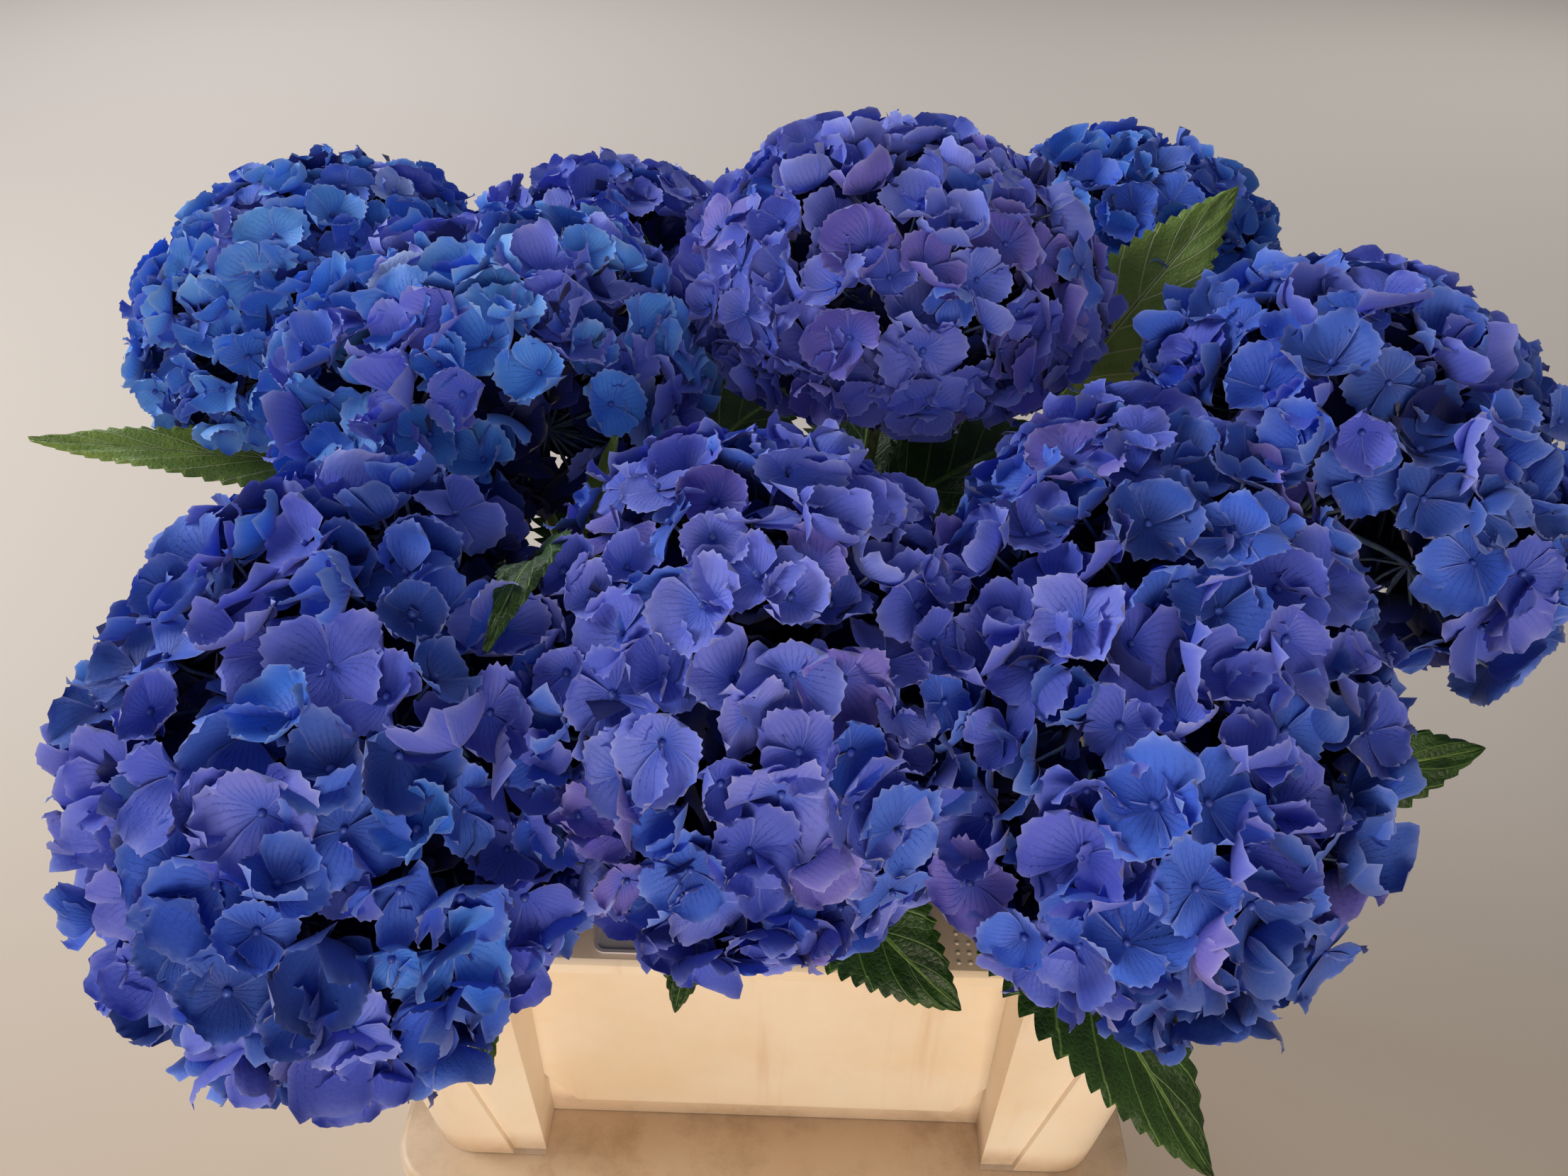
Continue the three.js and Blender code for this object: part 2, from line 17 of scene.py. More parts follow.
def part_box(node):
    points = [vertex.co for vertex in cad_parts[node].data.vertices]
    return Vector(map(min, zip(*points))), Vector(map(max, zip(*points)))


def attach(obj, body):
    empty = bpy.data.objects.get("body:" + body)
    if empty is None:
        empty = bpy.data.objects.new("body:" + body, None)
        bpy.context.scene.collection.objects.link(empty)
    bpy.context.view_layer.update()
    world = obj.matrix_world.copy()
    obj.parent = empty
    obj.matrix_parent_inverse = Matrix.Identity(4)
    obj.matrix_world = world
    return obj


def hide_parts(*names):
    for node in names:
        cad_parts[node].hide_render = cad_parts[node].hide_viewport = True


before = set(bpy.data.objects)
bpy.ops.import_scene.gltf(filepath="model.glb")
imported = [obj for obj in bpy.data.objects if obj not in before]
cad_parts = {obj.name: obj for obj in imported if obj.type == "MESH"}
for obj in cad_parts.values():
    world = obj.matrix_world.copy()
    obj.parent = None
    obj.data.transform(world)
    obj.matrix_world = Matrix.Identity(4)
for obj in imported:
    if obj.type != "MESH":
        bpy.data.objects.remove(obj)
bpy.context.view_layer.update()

MM = 0.001

# %% [markdown]
# ## Colours and nodes
# Colours are picked as sRGB hex values, as from a paint chart, and the shaders work in linear light, so
# one function turns one into the other. A second small function adds a shader node with its settings
# and links, which keeps each material to a few readable lines.


# %% Colour and node helpers
def linear(code):
    """An sRGB hex value as linear red, green, blue and alpha."""
    parts = [int(code[k:k + 2], 16) / 255 for k in (1, 3, 5)]
    return tuple(c / 12.92 if c <= 0.04045 else ((c + 0.055) / 1.055) ** 2.4 for c in parts) + (1.0,)


def add(tree, kind, settings=None, **inputs):
    """Adds a node. settings are its properties; inputs are values or sockets, by name or as i0, i1."""
    made = tree.nodes.new(kind)
    for key, value in (settings or {}).items():
        setattr(made, key, value)
    for key, value in inputs.items():
        numbered = key[0] == "i" and key[1:].isdigit()
        socket = made.inputs[int(key[1:])] if numbered else made.inputs[key.replace("_", " ")]
        if isinstance(value, bpy.types.NodeSocket):
            tree.links.new(value, socket)
        else:
            socket.default_value = value
    return made


def calc(tree, operation, *values, clamp=False):
    """A Math node's result."""
    inputs = {f"i{k}": value for k, value in enumerate(values)}
    return add(tree, "ShaderNodeMath", {"operation": operation, "use_clamp": clamp}, **inputs).outputs[0]


def blend(tree, factor, first, second):
    """A colour between two colours."""
    return add(tree, "ShaderNodeMix", {"data_type": "RGBA"}, i0=factor, i6=first, i7=second).outputs[2]


def ramp(tree, value, low, high):
    """0 at low, 1 at high, with a smooth rise between them."""
    settings = {"interpolation_type": "SMOOTHSTEP"}
    return add(tree, "ShaderNodeMapRange", settings, i0=value, i1=low, i2=high).outputs[0]


def start(name, **constants):
    """A new material, its tree and its shader, with the shader's constant values set on its own sockets."""
    made = bpy.data.materials.new(name)
    made.use_nodes = True
    tree = made.node_tree
    shader = tree.nodes["Principled BSDF"]
    for key, value in constants.items():
        shader.inputs[key.replace("_", " ")].default_value = value
    return made, tree, shader


def relief(tree, shader, height, depth_mm, strength=1.0):
    """Bump of a real depth, from a height between 0 and 1."""
    bump = add(tree, "ShaderNodeBump", Height=height, Distance=depth_mm * MM, Strength=strength)
    tree.links.new(bump.outputs[0], shader.inputs["Normal"])


# %% [markdown]
# ## Meshes
# A bloom has thousands of sepals, so those are worked out together in arrays and joined into one mesh.
# Each sepal carries its own UV map: U runs across it and V from its base to its tip, so veins can follow
# the surface. A number called tint is dealt to each floret, so that neighbours differ a little.


# %% Mesh helpers
def unit(vectors):
    return vectors / np.maximum(np.linalg.norm(vectors, axis=-1, keepdims=True), 1e-12)


def grid_faces(count, rows, columns, closed=False):
    """Quads of count grids that each have rows by columns of points, one after another."""
    across = columns if closed else columns - 1
    row, column = np.meshgrid(np.arange(rows - 1), np.arange(across), indexing="ij")
    following = (column + 1) % columns
    quad = np.stack([
        row * columns + column, row * columns + following,
        (row + 1) * columns + following, (row + 1) * columns + column,
    ], -1).reshape(-1, 4)
    return (quad[None] + (np.arange(count) * rows * columns)[:, None, None]).reshape(-1, 4)


def joined(name, points, faces, material, uv=None, tint=None, body="root", stands_for=()):
    """One smooth object from arrays of points and quads."""
    mesh = bpy.data.meshes.new(name)
    mesh.from_pydata(points.reshape(-1, 3).tolist(), [], faces.tolist())
    if uv is not None:
        layer = mesh.uv_layers.new(name="surface")
        layer.data.foreach_set("uv", uv.reshape(-1, 2)[faces.ravel()].astype(np.float32).ravel())
    if tint is not None:
        mesh.attributes.new("tint", "FLOAT", "POINT").data.foreach_set("value", tint.astype(np.float32).ravel())
    mesh.materials.append(material)
    mesh.shade_smooth()
    piece = bpy.data.objects.new(name, mesh)
    return fitted(piece, body, stands_for)


def fitted(piece, body="root", stands_for=()):
    """Puts a piece in the scene on its body, and hides the CAD nodes that it stands for."""
    if piece.name not in bpy.context.scene.collection.objects:
        bpy.context.scene.collection.objects.link(piece)
    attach(piece, body)
    if stands_for:
        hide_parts(*stands_for)
    return piece


def tubes(paths, radii, sides):
    """Points and quads of many tubes, from a line of points for each and a radius at each point."""
    count, steps = paths.shape[:2]
    along = unit(np.gradient(paths, axis=1))
    helper = np.where(np.abs(along[:, :1, 2:3]) < 0.9, np.array([0.0, 0, 1]), np.array([1.0, 0, 0]))
    across = unit(np.cross(along, np.broadcast_to(helper, along.shape)))
    up = np.cross(along, across)
    angle = np.linspace(0, 2 * np.pi, sides, endpoint=False)
    ring = across[:, :, None] * np.cos(angle)[:, None] + up[:, :, None] * np.sin(angle)[:, None]
    points = paths[:, :, None] + ring * radii[:, :, None, None]
    return points, grid_faces(count, steps, sides, closed=True)


def bowed(first, middle, last, steps):
    """Quadratic curves from first over middle to last."""
    t = np.linspace(0, 1, steps)[:, None]
    return (1 - t) ** 2 * first[:, None] + 2 * t * (1 - t) * middle[:, None] + t ** 2 * last[:, None]


# %% [markdown]
# ## The bunch
# These are the sizes that the frame was built from, in millimetres: for each stem, where it passes the
# bucket's mouth and its bloom's axis, centre and size. The florets, their stalks and the leaves grow from
# them by the same rules as the solids, so every piece stays where its solid is.

# %% Sizes of the stems and blooms
GAP, FLOOR = 0.3, 5
STEM_FOOT_R, STEM_TIP_R = 4.6, 3.1
FOOT_SPREAD, LOW_PART, MOUTH_Z, NECK = 0.72, 0.6, 372, 26
CORE, UNDERSIDE, LOWEST_FLORET, LOWEST_INNER = 0.79, 0.62, -0.6, -0.98
OPEN_CONE, NEIGHBOUR = 0.42, 1.35
STEMS = {
    "front_left": dict(mouth=(-104, -72), axis=(-0.4, -0.45, 0.8), centre=(-150, -139, 472),
                       radii=(102, 118, 92)),
    "front_middle": dict(mouth=(-6, -66), axis=(0, -0.45, 0.89), centre=(-8, -112, 490), radii=(94, 106, 88)),
    "front_right": dict(mouth=(94, -66), axis=(0.32, -0.4, 0.86), centre=(140, -108, 488), radii=(92, 126, 84)),
    "right": dict(mouth=(136, 2), axis=(0.55, -0.05, 0.8), centre=(250, 4, 520), radii=(104, 102, 86),
                  open=(-0.62, -0.56, -0.55)),
    "middle": dict(mouth=(30, 42), axis=(0.05, 0.02, 1), centre=(52, 100, 560), radii=(103, 100, 78)),
    "left": dict(mouth=(-76, 10), axis=(-0.25, -0.05, 0.97), centre=(-135, 46, 526), radii=(104, 100, 80)),
    "far_left": dict(mouth=(-128, 66), axis=(-0.5, 0.1, 0.8), centre=(-258, 154, 515), radii=(102, 104, 78)),
    "back_left": dict(mouth=(-50, 86), axis=(-0.2, 0.5, 0.85), centre=(-116, 258, 504), radii=(86, 86, 64)),
    "back_right": dict(mouth=(88, 84), axis=(0.3, 0.4, 0.85), centre=(206, 258, 524), radii=(88, 88, 66)),
}


def stem_line(plan, at):
    """Points of a stem at the shares in at, in millimetres, on the solid's centripetal Catmull-Rom curve."""
    heart, out = np.array(plan["centre"], float), unit(np.array(plan["axis"], float))
    passing = np.array([*plan["mouth"], MOUTH_Z], float)
    foot = np.array([plan["mouth"][0] * FOOT_SPREAD, plan["mouth"][1] * FOOT_SPREAD, FLOOR + GAP])
    neck = heart - out * (plan["radii"][2] * UNDERSIDE * CORE + NECK)
    knots = [foot, foot + (passing - foot) * LOW_PART, passing, neck]
    knots = [2 * knots[0] - knots[1]] + knots + [2 * knots[3] - knots[2]]
    points = []
    for share in at:
        place = min(share * 3, 2.999999)
        k = int(place)
        w = place - k
        p0, p1, p2, p3 = knots[k:k + 4]
        d0, d1, d2 = (np.sqrt(np.linalg.norm(b - a)) for a, b in ((p0, p1), (p1, p2), (p2, p3)))
        t1 = ((p1 - p0) / d0 - (p2 - p0) / (d0 + d1) + (p2 - p1) / d1) * d1
        t2 = ((p2 - p1) / d1 - (p3 - p1) / (d1 + d2) + (p3 - p2) / d2) * d1
        points.append(p1 + t1 * w + (3 * (p2 - p1) - 2 * t1 - t2) * w ** 2 + (2 * (p1 - p2) + t1 + t2) * w ** 3)
    return np.array(points)


def bloom_axes(plan):
    """A bloom's heart and its own axes: across, along and out."""
    out = unit(np.array(plan["axis"], float))
    across = unit(np.cross([0, 1, 0], out))
    return np.array(plan["centre"], float), across, np.cross(out, across), out


print("stem tips:", {name: stem_line(plan, [1])[0].round().tolist() for name, plan in STEMS.items()})

# %% [markdown]
# ## Polypropylene of the bucket
# The bucket is moulded from cream polypropylene. Thin moulded plastic lets some light through, so it
# looks warm where light shines through a wall, and subsurface light does that. The ledge is painted a
# darker tan, partly painted shade under the sunk panel and partly stain. Years of use leave brown water
# stains in spots on the ledge, faint streaks down the walls and fine scuffs.


# %% Cream polypropylene
def cream_polypropylene():
    made, tree, shader = start("moulded cream polypropylene", Roughness=0.42, IOR=1.49)
    shader.inputs["Subsurface Weight"].default_value = 0.25
    shader.inputs["Subsurface Radius"].default_value = (1.0, 0.55, 0.25)
    shader.inputs["Subsurface Scale"].default_value = 6 * MM
    place = add(tree, "ShaderNodeTexCoord").outputs["Object"]
    cloud = add(tree, "ShaderNodeTexNoise", Vector=place, Scale=9.0, Detail=5.0, Roughness=0.6).outputs[0]
    base = blend(tree, ramp(tree, cloud, 0.35, 0.7), linear("#fdeedb"), linear("#f6e2c5"))
    drawn = add(tree, "ShaderNodeMapping", Vector=place, Scale=(60, 60, 4)).outputs[0]
    streak = add(tree, "ShaderNodeTexNoise", Vector=drawn, Scale=1.0, Detail=3.0).outputs[0]
    base = blend(tree, calc(tree, "MULTIPLY", ramp(tree, streak, 0.58, 0.8), 0.35), base, linear("#b98a55"))
    height = add(tree, "ShaderNodeSeparateXYZ", Vector=place).outputs[2]
    # Painted shade and stain: the ledge band turns a darker tan, partly the shade under the sunk panel and
    # partly stain; the spots on it are water stains.
    ledge = calc(tree, "MULTIPLY", ramp(tree, height, 0.158, 0.165), ramp(tree, height, 0.19, 0.168))
    spots = add(tree, "ShaderNodeTexNoise", Vector=place, Scale=26.0, Detail=6.0, Roughness=0.7).outputs[0]
    base = blend(tree, calc(tree, "MULTIPLY", ledge, 0.5), base, linear("#b08f68"))
    stain = calc(tree, "MULTIPLY", ledge, ramp(tree, spots, 0.42, 0.75))
    base = blend(tree, calc(tree, "MULTIPLY", stain, 0.45), base, linear("#86623c"))
    tree.links.new(base, shader.inputs["Base Color"])
    grain = add(tree, "ShaderNodeTexNoise", Vector=place, Scale=900.0, Detail=2.0).outputs[0]
    wobble = add(tree, "ShaderNodeTexNoise", Vector=place, Scale=30.0, Detail=2.0).outputs[0]
    relief(tree, shader, calc(tree, "ADD", grain, calc(tree, "MULTIPLY", wobble, 3.0)), 0.12, 0.5)
    return made


PLASTIC = cream_polypropylene()
print("made", PLASTIC.name)

# %% [markdown]
# ## The bucket's two halves
# A moulded part has no sharp edge. The solids already hold the tub, the corner posts and the sunk panels
# at their true size, so a copy of each mesh is merged, its flat faces are joined again, and its edges are
# then rounded with a bevel.

# %% Moulded copies of the solids
EDGE_ROUND = 1.6
FLAT_WITHIN = math.radians(1.0)
SHARP_FROM = math.radians(34)


def moulded(node_name, name, edge_mm):
    shape = bmesh.new()
    shape.from_mesh(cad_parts[node_name].data)
    bmesh.ops.remove_doubles(shape, verts=shape.verts, dist=0.01 * MM)
    bmesh.ops.dissolve_limit(shape, angle_limit=FLAT_WITHIN, verts=shape.verts, edges=shape.edges)
    sharp = [e for e in shape.edges if len(e.link_faces) == 2 and e.calc_face_angle(0) > SHARP_FROM]
    bmesh.ops.bevel(
        shape, geom=sharp, offset=edge_mm * MM, offset_type="OFFSET", segments=3, profile=0.5,
        affect="EDGES", clamp_overlap=True, material=-1,
    )
    mesh = bpy.data.meshes.new(name)
    shape.to_mesh(mesh)
    shape.free()
    mesh.materials.append(PLASTIC)
    mesh.shade_smooth()
    mesh.set_sharp_from_angle(angle=SHARP_FROM)
    piece = bpy.data.objects.new(name, mesh)
    print(name, "faces", len(mesh.polygons))
    return fitted(piece, stands_for=[node_name])


moulded("bucket_tub", "tub", EDGE_ROUND)
moulded("bucket_collar", "collar", EDGE_ROUND)

# %% [markdown]
# ## The bare pad and the grip dots
# On the front of the rim lies a smooth pad with a rounded border, where a label can go. It stays bare.
# On each side of it the rim has rows of small raised dots, so that wet hands don't slip.

# %% Pad and dots
PAD_LOW, PAD_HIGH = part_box("label_plate")
DOT_R, DOT_PITCH = 1.3, 5.0
RIM_Z = 360.0
DOT_ZONE_X, DOT_ZONE_Y = (84.0, 150.0), (-139.0, -109.0)


def satin_card():
    made, tree, shader = start("satin coated pad", Roughness=0.45)
    place = add(tree, "ShaderNodeTexCoord").outputs["Object"]
    smear = add(tree, "ShaderNodeTexNoise", Vector=place, Scale=22.0, Detail=4.0).outputs[0]
    base = blend(tree, ramp(tree, smear, 0.3, 0.7), linear("#dcd6dc"), linear("#c4bec8"))
    tree.links.new(base, shader.inputs["Base Color"])
    relief(tree, shader, smear, 0.2, 0.4)
    return made


def pad():
    shape = bmesh.new()
    size, centre = PAD_HIGH - PAD_LOW, (PAD_HIGH + PAD_LOW) / 2
    bmesh.ops.create_cube(shape, size=1, matrix=Matrix.Translation(centre) @ Matrix.Diagonal((*size, 1)))
    upright = [e for e in shape.edges if abs((e.verts[0].co - e.verts[1].co).z) > size.z / 2]
    bmesh.ops.bevel(shape, geom=upright, offset=5 * MM, segments=6, profile=0.5, affect="EDGES", material=-1)
    top = max(shape.faces, key=lambda f: f.calc_center_median().z)
    bmesh.ops.inset_region(shape, faces=[top], thickness=1.6 * MM, depth=0)
    bmesh.ops.inset_region(shape, faces=[top], thickness=0.5 * MM, depth=-0.7 * MM)
    mesh = bpy.data.meshes.new("pad")
    shape.to_mesh(mesh)
    shape.free()
    mesh.materials.append(satin_card())
    return fitted(bpy.data.objects.new("pad", mesh), stands_for=["label_plate"])


def grip_dots():
    shape = bmesh.new()
    for side in (-1, 1):
        for x in np.arange(*DOT_ZONE_X, DOT_PITCH):
            for y in np.arange(*DOT_ZONE_Y, DOT_PITCH):
                place = Matrix.Translation(Vector((side * x, y, RIM_Z)) * MM) @ Matrix.Diagonal((1, 1, 0.5, 1))
                bmesh.ops.create_icosphere(shape, subdivisions=1, radius=DOT_R * MM, matrix=place)
    mesh = bpy.data.meshes.new("grip_dots")
    shape.to_mesh(mesh)
    shape.free()
    mesh.materials.append(PLASTIC)
    mesh.shade_smooth()
    print("grip dots: faces", len(mesh.polygons))
    return fitted(bpy.data.objects.new("grip_dots", mesh))


pad()
grip_dots()

# %% [markdown]
# ## Stems
# A cut hydrangea stem is smooth and green, with small corky flecks and a slightly swollen ring where each
# pair of leaves grows. It narrows to the bloom, and there it branches into the stalks of the florets.


# %% Green bark
def green_bark(name, green, dark, fleck):
    made, tree, shader = start(name, Roughness=0.5)
    place = add(tree, "ShaderNodeTexCoord").outputs["Object"]
    drawn = add(tree, "ShaderNodeMapping", Vector=place, Scale=(1, 1, 0.15)).outputs[0]
    streak = add(tree, "ShaderNodeTexNoise", Vector=drawn, Scale=400.0, Detail=3.0).outputs[0]
    flecks = add(tree, "ShaderNodeTexVoronoi", Vector=place, Scale=260.0).outputs[0]
    base = blend(tree, ramp(tree, streak, 0.35, 0.65), linear(green), linear(dark))
    base = blend(tree, calc(tree, "MULTIPLY", ramp(tree, flecks, 0.25, 0.1), 0.6), base, linear(fleck))
    tree.links.new(base, shader.inputs["Base Color"])
    relief(tree, shader, streak, 0.3, 0.6)
    return made


STEM_BARK = green_bark("green bark of a cut stem", "#6d8348", "#45602f", "#8d8560")
STEM_STEPS, STEM_SIDES = 60, 12
JOINTS_AT = (0.32, 0.6, 0.86)


def stems():
    shares = np.linspace(0, 1, STEM_STEPS)
    swelling = 1 + 0.22 * sum(np.exp(-((shares - j) / 0.012) ** 2) for j in JOINTS_AT)
    for name, plan in STEMS.items():
        line = stem_line(plan, shares)
        radius = (STEM_FOOT_R + (STEM_TIP_R - STEM_FOOT_R) * shares) * swelling
        points, faces = tubes(line[None] * MM, radius[None] * MM, STEM_SIDES)
        points[0, 0, :, 2] = (FLOOR + GAP) * MM
        joined("cut_stem_" + name, points, faces, STEM_BARK, stands_for=["stem_" + name])


stems()
print("stems:", len(STEMS))

# %% [markdown]
# ## Leaves
# A hydrangea leaf is broad and ovate, with a drawn-out tip, coarse forward teeth, a strong midrib and
# paler side veins that arch to the edge, with the blade puffed up between them. Each leaf is a fine grid
# bent along its spine, whose outer points are pushed in and out for the teeth.

# %% Leaf sizes, as in the frame
LEAF_FOLD, PETIOLE_SHARE, PETIOLE_R, LEAF_THICKNESS = 0.22, 0.16, 1.5, 1.7
LEAVES = {
    "leaf_far_left": ("far_left", 0.9, 48, (-372, 49, 498), (-288, 56, 488), (0.1, -0.3, 0.95)),
    "leaf_far_left_back": ("far_left", 0.86, 80, (-318, 232, 424), (-236, 186, 440), (-0.3, 0.4, 0.8)),
    "leaf_left": ("left", 0.84, 78, (-236, -26, 452), (-168, -26, 462), (-0.2, -0.4, 0.9)),
    "leaf_front_left_up": ("front_left", 0.8, 60, (-68, -28, 552), (-92, -44, 470), (-0.6, -0.5, 0.5)),
    "leaf_front_left_top": ("front_left", 0.94, 44, (-92, -160, 546), (-64, -84, 600), (-0.3, -0.3, 0.9)),
    "leaf_front_left_low": ("front_left", 0.84, 40, (-106, -198, 352), (-124, -150, 396), (0.4, -0.6, 0.7)),
    "leaf_front_left_side": ("front_left", 0.87, 78, (-246, -62, 398), (-180, -62, 418), (-0.2, 0.1, 0.9)),
    "leaf_front_middle_left": ("front_middle", 0.86, 52, (-34, -180, 378), (-26, -140, 412), (0, -0.6, 0.8)),
    "leaf_front_middle_right": ("front_middle", 0.82, 76, (80, -176, 380), (30, -152, 414), (0.1, -0.6, 0.8)),
    "leaf_front_right_low": ("front_right", 0.8, 98, (183, -212, 326), (110, -174, 432), (0.3, -0.5, 0.8)),
    "leaf_front_right_side": ("front_right", 0.86, 84, (304, -84, 444), (222, -94, 424), (0.1, -0.7, 0.7)),
    "leaf_right": ("right", 0.84, 80, (262, 108, 420), (208, 70, 430), (0.4, 0.2, 0.8)),
    "leaf_middle_front": ("middle", 0.78, 62, (94, 4, 494), (60, 14, 478), (-0.2, -0.6, 0.8)),
    "leaf_middle_back": ("middle", 0.82, 80, (56, 216, 476), (48, 150, 476), (0, 0.2, 0.9)),
    "leaf_back_left_up": ("back_left", 0.84, 40, (-82, 196, 554), (-46, 176, 490), (0.8, -0.5, 0.2)),
    "leaf_back_left": ("back_left", 0.88, 80, (-182, 318, 420), (-128, 252, 430), (-0.2, 0.3, 0.9)),
    "leaf_back_right_up": ("back_right", 0.9, 74, (236, 178, 594), (182, 146, 540), (-0.1, -0.8, 0.6)),
    "leaf_back_right": ("back_right", 0.88, 80, (292, 316, 430), (222, 250, 436), (0.2, 0.4, 0.9)),
    "leaf_middle_right": ("middle", 0.85, 80, (156, 150, 466), (100, 92, 476), (0.1, -0.3, 0.9)),
    "leaf_back_left_in": ("back_left", 0.78, 88, (26, 216, 456), (-44, 196, 446), (0, -0.3, 0.9)),
    "leaf_left_back": ("left", 0.8, 86, (-102, 166, 440), (-96, 88, 458), (0, -0.2, 1)),
    "leaf_back_right_side": ("back_right", 0.9, 80, (286, 142, 450), (232, 188, 466), (0, 0, 1)),
    "leaf_front_right_in": ("front_right", 0.76, 66, (44, -14, 436), (74, -50, 424), (-0.2, -0.4, 0.9)),
}
PALE_LEAVES = ("leaf_far_left", "leaf_front_left_up", "leaf_back_right_up")
LEAF_ROOM = 0.6
PROUD_ROOM = {
    "leaf_far_left": 1.0, "leaf_front_left_up": 1.65, "leaf_front_left_top": 1.2, "leaf_back_right_up": 1.15,
    "leaf_back_left_up": 1.0,
}
LEAF_ROWS, LEAF_COLUMNS, TEETH, VEINS = 127, 13, 21, 7
VEIN_ARCH, VEIN_POWER = 2.1, 0.8
TOOTH_DEPTH, PUFF, WAVE, DROOP = 0.19, 0.9, 2.2, 2.5
RIB_STEPS, RIB_SIDES = 40, 6


# %% Leaf blade material
def leaf_skin(name, green, deep, vein):
    made, tree, shader = start(name, Roughness=0.48)
    shader.inputs["Subsurface Weight"].default_value = 0.08
    shader.inputs["Subsurface Scale"].default_value = 1.5 * MM
    uv = add(tree, "ShaderNodeUVMap", {"uv_map": "surface"}).outputs[0]
    parts = add(tree, "ShaderNodeSeparateXYZ", Vector=uv)
    across = calc(tree, "ABSOLUTE", calc(tree, "MULTIPLY_ADD", parts.outputs[0], 2.0, -1.0))
    place = add(tree, "ShaderNodeTexCoord").outputs["Object"]
    patch = add(tree, "ShaderNodeTexNoise", Vector=place, Scale=55.0, Detail=4.0).outputs[0]
    cells = {"feature": "DISTANCE_TO_EDGE"}
    net = add(tree, "ShaderNodeTexVoronoi", cells, Vector=place, Scale=380.0).outputs[0]
    arch = calc(tree, "MULTIPLY", calc(tree, "POWER", across, VEIN_POWER), VEIN_ARCH)
    lines = calc(tree, "SUBTRACT", calc(tree, "MULTIPLY", parts.outputs[1], float(VEINS)), arch)
    nearest = calc(tree, "ABSOLUTE", calc(tree, "SUBTRACT", calc(tree, "FRACT", lines), 0.5))
    side_vein = ramp(tree, nearest, 0.44, 0.495)
    midrib = ramp(tree, across, 0.06, 0.02)
    fine = calc(tree, "MULTIPLY", ramp(tree, net, 0.09, 0.0), 0.12)
    veins = calc(tree, "MAXIMUM", calc(tree, "MAXIMUM", side_vein, midrib), fine)
    base = blend(tree, ramp(tree, patch, 0.35, 0.7), linear(green), linear(deep))
    base = blend(tree, calc(tree, "MULTIPLY", veins, 0.75), base, linear(vein))
    tree.links.new(base, shader.inputs["Base Color"])
    relief(tree, shader, calc(tree, "SUBTRACT", calc(tree, "MULTIPLY", net, 1.4), veins), 0.5, 0.6)
    return made


DARK_LEAF = leaf_skin("dark hydrangea leaf", "#284e14", "#18360c", "#658f40")
# A paler green for the three leaves listed in PALE_LEAVES.
PALE_LEAF = leaf_skin("pale hydrangea leaf", "#84a24a", "#6c8c3a", "#c4d096")
PETIOLE_SKIN = green_bark("green leaf stalk", "#7f9a4c", "#5d7a36", "#93a05e")


# %% Leaf shape
def leaf_frame(spec, shares):
    """Points of a leaf's spine, with the directions across it and out of its upper side, in millimetres."""
    stem, up, _, tip, over, face = spec
    root = stem_line(STEMS[stem], [up])[0]
    tip, over = np.array(tip, float), np.array(over, float)
    t = shares[:, None]
    spine = (1 - t) ** 2 * root + 2 * t * (1 - t) * over + t ** 2 * tip
    along = unit(2 * (1 - t) * (over - root) + 2 * t * (tip - over))
    side = unit(np.cross(along, np.array(face, float)))
    return spine, side, unit(np.cross(side, along))


def leaf_blade(spec, rng):
    """Points and UVs of a blade, and the direction out of its upper side at each row."""
    s = np.linspace(0.004, 0.996, LEAF_ROWS)
    u = np.linspace(-1, 1, LEAF_COLUMNS)
    spine, side, normal = leaf_frame(spec, PETIOLE_SHARE + (1 - PETIOLE_SHARE) * s)
    outline = np.sin(np.pi * s ** 0.62) ** 0.8 * (1 - 0.25 * s)
    saw = (s * TEETH) % 1.0
    tooth = 1 - TOOTH_DEPTH * (1 - saw) ** 1.3 * np.clip(s * 8, 0, 1)
    half = spec[2] / 2 * outline
    edge = np.abs(u) ** 8
    x = half[:, None] * u * (1 + edge * (tooth[:, None] - 1))
    arches = s[:, None] * VEINS - np.abs(u) ** VEIN_POWER * VEIN_ARCH
    puff = PUFF * np.cos(2 * np.pi * arches) * np.sin(np.pi * np.abs(u)) ** 0.7
    wave = WAVE * u ** 2 * np.sin(2 * np.pi * (2.4 * s[:, None] + rng.random() + 0.3 * np.sign(u)))
    droop = -DROOP * u ** 4
    z = LEAF_FOLD * np.abs(x) + puff + wave * outline[:, None] + droop - LEAF_THICKNESS / 2
    points = spine[:, None] + side[:, None] * x[..., None] + normal[:, None] * z[..., None]
    uv = np.stack(np.broadcast_arrays((u + 1) / 2, s[:, None]), -1)
    return points, uv, normal


